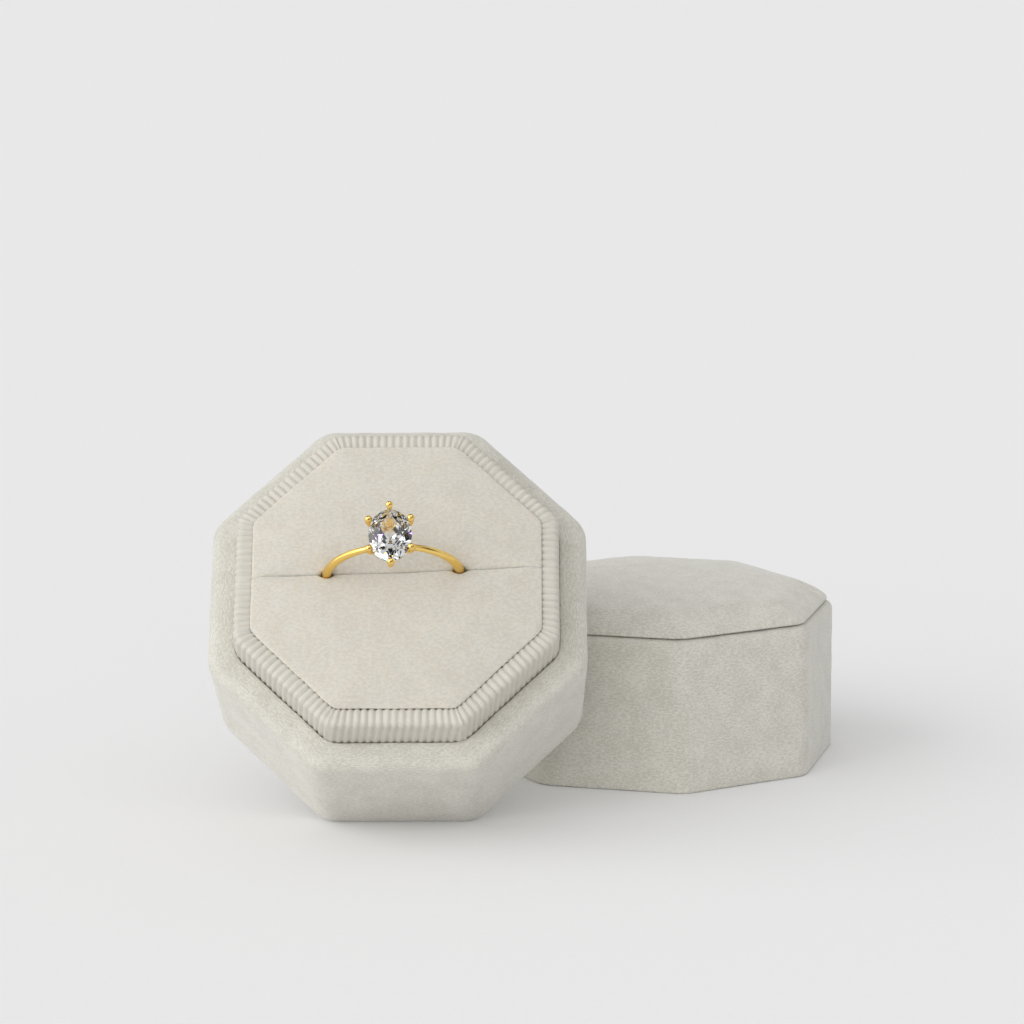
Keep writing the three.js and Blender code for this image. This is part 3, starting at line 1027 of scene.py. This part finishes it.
class RINGBOX_OT_head(PieceOperator, bpy.types.Operator):
    """Cast head: two oval rails and six tapered prongs with ball tips"""

    bl_idname = "ring_box.head"
    bl_label = "Ring head"

    PRONGS = (90, 30, -30, -90, -150, 150)
    FOOT = (1.25 * MM, 1.5 * MM)  # half-width and half-length of the lower rail
    BALL = 0.55 * MM
    PRONG = (0.3 * MM, 0.3 * MM, 0.42 * MM, 0.34 * MM)  # its radii, from foot to tip

    def execute(self, context):
        girdle = stone_high.z - self.sizes.crown
        foot = band_radius - wire_radius
        middle = girdle - 1.5 * MM
        waist = (0.9 * stone_half_width, 0.9 * stone_half_length)
        pieces = [self.rail(self.FOOT, foot, 0.34 * MM), self.rail(waist, middle, 0.22 * MM)]
        for degrees in self.PRONGS:
            turn = math.radians(degrees)
            way = Vector((math.cos(turn), math.sin(turn)))
            oval = Vector((way.x * stone_half_width, way.y * stone_half_length))
            clasp = oval + oval.normalized() * 0.5 * MM
            lean = 0.12 * MM  # of the tip, back over the stone
            route = [
                (self.FOOT[0] * way.x, self.FOOT[1] * way.y, foot),
                (0.9 * oval.x, 0.9 * oval.y, middle),
                (*clasp, girdle + 0.1 * MM),
                (clasp.x - lean * way.x, clasp.y - lean * way.y, head_high.z - self.BALL),
            ]
            pieces.append(self.wire(route, self.PRONG, "AUTO"))
            clear_selection()
            bpy.ops.mesh.primitive_uv_sphere_add(
                segments=24, ring_count=16, radius=self.BALL, location=route[-1],
                scale=(1, 1, 0.94),
            )
            pieces.append(bpy.context.object)
        obj = join(pieces, "ring_setting")
        remesh(obj, voxel=0.075 * MM)
        apply_modifier(obj, "SMOOTH", iterations=8, factor=0.5)
        finish_piece(obj, RING, "ring", "gold", "ring_head")
        return {"FINISHED"}

    def rail(self, halves, height, radius):
        """A level wire with straight bars from prong to prong."""
        route = []
        for degrees in self.PRONGS:
            turn = math.radians(degrees)
            route.append((halves[0] * math.cos(turn), halves[1] * math.sin(turn), height))
        return self.wire(route, [radius] * len(route), "VECTOR", closed=True)

    def wire(self, route, radii, handles, closed=False):
        """A wire through the points of a route, with a radius at each."""
        clear_selection()
        bpy.ops.curve.primitive_bezier_curve_add(radius=1)
        curve = bpy.context.object
        spline = curve.data.splines[0]
        spline.bezier_points.add(len(route) - len(spline.bezier_points))
        spline.use_cyclic_u = closed
        for point, place, radius in zip(spline.bezier_points, route, radii):
            point.co = place
            point.radius = radius / max(radii)
            point.handle_left_type = point.handle_right_type = handles
        curve.data.dimensions = "3D"
        curve.data.bevel_depth = max(radii)
        curve.data.bevel_resolution = 5
        curve.data.resolution_u = 16
        curve.data.use_fill_caps = True
        bpy.ops.object.convert(target="MESH")
        wire = bpy.context.object
        settle(wire)
        return wire


class RINGBOX_OT_stone(PieceOperator, bpy.types.Operator):
    """Oval cut stone with a table, star, kite and girdle facets and a pointed back"""

    bl_idname = "ring_box.stone"
    bl_label = "Stone"

    def execute(self, context):
        crown = self.sizes.crown
        table = stone_high.z
        girdle = table - crown
        back_top = girdle - 0.15 * MM
        back = back_top - stone_low.z
        rings = [  # corners, width as a share of the stone's, height, turn
            (8, 0.55, table, STEP / 2),
            (8, 0.80, table - 0.42 * crown, 0),
            (16, 1.0, girdle + 0.12 * MM, 0),
            (16, 1.0, girdle - 0.1 * MM, 0),
            (8, 0.30, back_top - 0.78 * back, STEP / 2),
            (8, 0.01, stone_low.z, 0),
        ]
        levels = []
        for count, width, height, turn in rings:
            clear_selection()
            bpy.ops.mesh.primitive_circle_add(
                vertices=count,
                radius=width * stone_half_width,
                location=(0, 0, height),
                rotation=(0, 0, turn),
            )
            settle(bpy.context.object)
            levels.append(bpy.context.object)
        obj = join(levels, "cut_stone")
        bpy.ops.object.mode_set(mode="EDIT")
        bpy.ops.mesh.select_all(action="SELECT")
        stretch = stone_half_length / stone_half_width
        bpy.ops.transform.resize(value=(1, stretch, 1), center_override=(0, 0, 0))
        bpy.ops.mesh.convex_hull()
        bpy.ops.mesh.select_all(action="SELECT")
        bpy.ops.mesh.dissolve_limited(angle_limit=math.radians(0.6))
        point_outwards()
        leave_edit()
        finish_piece(obj, RING, "ring", "stone", "ring_stone")
        settle(obj)
        bpy.ops.object.shade_flat()
        return {"FINISHED"}


class RINGBOX_OT_stage(PieceOperator, bpy.types.Operator):
    """Pale floor, soft studio light and the camera"""

    bl_idname = "ring_box.stage"
    bl_label = "Stage"

    def execute(self, context):
        scene = context.scene
        scene.view_settings.view_transform = "Standard"
        self.floor()
        self.world(scene)
        self.sun(
            "key_light", towards=(-0.90, -0.25, 0.32), strength=1.28, spread=75,
            colour=(1.0, 0.985, 0.96),
        )
        self.sun(
            "front_fill", towards=(-0.35, -0.90, 0.10), strength=1.38, spread=80,
            colour=(0.99, 0.995, 1.0),
        )
        self.cards()
        self.camera(scene)
        return {"FINISHED"}

    def floor(self):
        clear_selection()
        bpy.ops.mesh.primitive_plane_add(size=40, location=(0, 0, -0.02 * MM))
        floor = new_piece("studio_floor")
        floor.data.materials.append(look_named("floor"))

    def world(self, scene):
        world = bpy.data.worlds.new("studio")
        scene.world = world
        world.use_nodes = True
        background = world.node_tree.nodes["Background"]
        background.inputs["Color"].default_value = (1.0, 1.0, 1.0, 1)
        background.inputs["Strength"].default_value = 0.686

    def sun(self, name, towards, strength, spread, colour):
        """Even light, as wide as a large window; the spread is in degrees."""
        clear_selection()
        bpy.ops.object.light_add(type="SUN")
        light = bpy.context.object
        light.name = name
        light.rotation_euler = Vector(towards).to_track_quat("Z", "Y").to_euler()
        light.data.energy = strength
        light.data.angle = math.radians(spread)
        light.data.color = colour

    def card(self, name, place, size, strength, colour=(1, 1, 1), shows_in="gold stone"):
        """A card or softbox that only shows in the gold or in the stone."""
        clear_selection()
        bpy.ops.mesh.primitive_plane_add(size=1, location=place)
        card = bpy.context.object
        card.name = name
        card.scale = (*size, 1)
        card.rotation_euler = Vector(place).to_track_quat("Z", "Y").to_euler()
        settle(card)
        look = bpy.data.materials.new(name)
        look.use_nodes = True
        nodes = look.node_tree.nodes
        nodes.clear()
        glow = nodes.new("ShaderNodeEmission")
        glow.inputs["Color"].default_value = (*colour, 1)
        glow.inputs["Strength"].default_value = strength
        out = nodes.new("ShaderNodeOutputMaterial")
        look.node_tree.links.new(glow.outputs[0], out.inputs[0])
        card.data.materials.append(look)
        card.visible_camera = card.visible_diffuse = card.visible_shadow = False
        card.visible_transmission = "stone" in shows_in
        card.visible_glossy = "gold" in shows_in

    def cards(self):
        """Dark cards for contrast, softboxes for the gold, and small lamps for the stone."""
        self.card("dark_front", (0.0, -0.9, 0.2), (1.1, 0.6), 0.02)
        self.card("dark_low", (0.0, -0.22, 0.0), (0.4, 0.12), 0.02, shows_in="stone")
        self.card("dark_over", (0.0, -0.5, 0.75), (0.6, 0.3), 0.02, shows_in="stone")
        self.card("dark_right", (0.6, -0.3, 0.35), (0.3, 0.5), 0.05)
        self.card("dark_top", (0.0, 0.35, 0.75), (0.9, 0.35), 0.02)
        self.card("softbox_left", (-0.5, -0.4, 0.5), (0.35, 0.35), 6.0, shows_in="gold")
        self.card("softbox_top", (0.1, -0.25, 0.8), (0.3, 0.2), 4.0, shows_in="gold")
        self.card("glint_blue", (-0.25, -0.75, 0.5), (0.1, 0.1), 8.0, (0.1, 0.4, 1.0))
        self.card("glint_violet", (0.3, -0.75, 0.45), (0.1, 0.1), 6.0, (0.4, 0.2, 1.0))
        self.card("glint_orange", (0.05, -0.7, 0.65), (0.08, 0.08), 6.0, (1.0, 0.45, 0.1))

    def camera(self, scene):
        view = scene.ring_box_view
        clear_selection()
        bpy.ops.object.camera_add()
        camera = bpy.context.object
        camera.name = "camera"
        place = Matrix.Translation((view.side, -view.distance, view.height))
        aim = (
            Matrix.Rotation(view.turn, 4, "Z")
            @ Matrix.Rotation(math.pi / 2 - view.drop, 4, "X")
            @ Matrix.Rotation(view.roll, 4, "Z")
        )
        camera.matrix_world = place @ aim
        camera.data.lens = view.lens
        camera.data.sensor_width = 36
        camera.data.clip_start = 0.01
        camera.data.clip_end = 100
        scene.camera = camera


OPERATORS = (
    RINGBOX_OT_stage,
    RINGBOX_OT_boards,
    RINGBOX_OT_base_velvet,
    RINGBOX_OT_base_bottom,
    RINGBOX_OT_collar_ribbon,
    RINGBOX_OT_cushion,
    RINGBOX_OT_lid_velvet,
    RINGBOX_OT_lid_top,
    RINGBOX_OT_lid_ceiling,
    RINGBOX_OT_shank,
    RINGBOX_OT_head,
    RINGBOX_OT_stone,
)


class RINGBOX_PT_panel(bpy.types.Panel):
    """Lists the ring box's pieces"""

    bl_idname = "RINGBOX_PT_panel"
    bl_label = "Ring Box"
    bl_space_type = "VIEW_3D"
    bl_region_type = "UI"
    bl_category = "Ring Box"

    def draw(self, context):
        for operator in OPERATORS:
            self.layout.operator(operator.bl_idname)


GROUPS = {
    "ring_box_sizes": RingBoxSizes,
    "ring_box_colours": RingBoxColours,
    "ring_box_view": RingBoxView,
}


def register():
    for name, group in GROUPS.items():
        bpy.utils.register_class(group)
        setattr(bpy.types.Scene, name, bpy.props.PointerProperty(type=group))
    for cls in (*OPERATORS, RINGBOX_PT_panel):
        bpy.utils.register_class(cls)


def unregister():
    for cls in (RINGBOX_PT_panel, *reversed(OPERATORS)):
        bpy.utils.unregister_class(cls)
    for name, group in reversed(GROUPS.items()):
        delattr(bpy.types.Scene, name)
        bpy.utils.unregister_class(group)


def main():
    register()
    for operator in OPERATORS:
        area, name = operator.bl_idname.split(".")
        getattr(getattr(bpy.ops, area), name)()
    clear_selection()


if __name__ == "__main__":
    main()
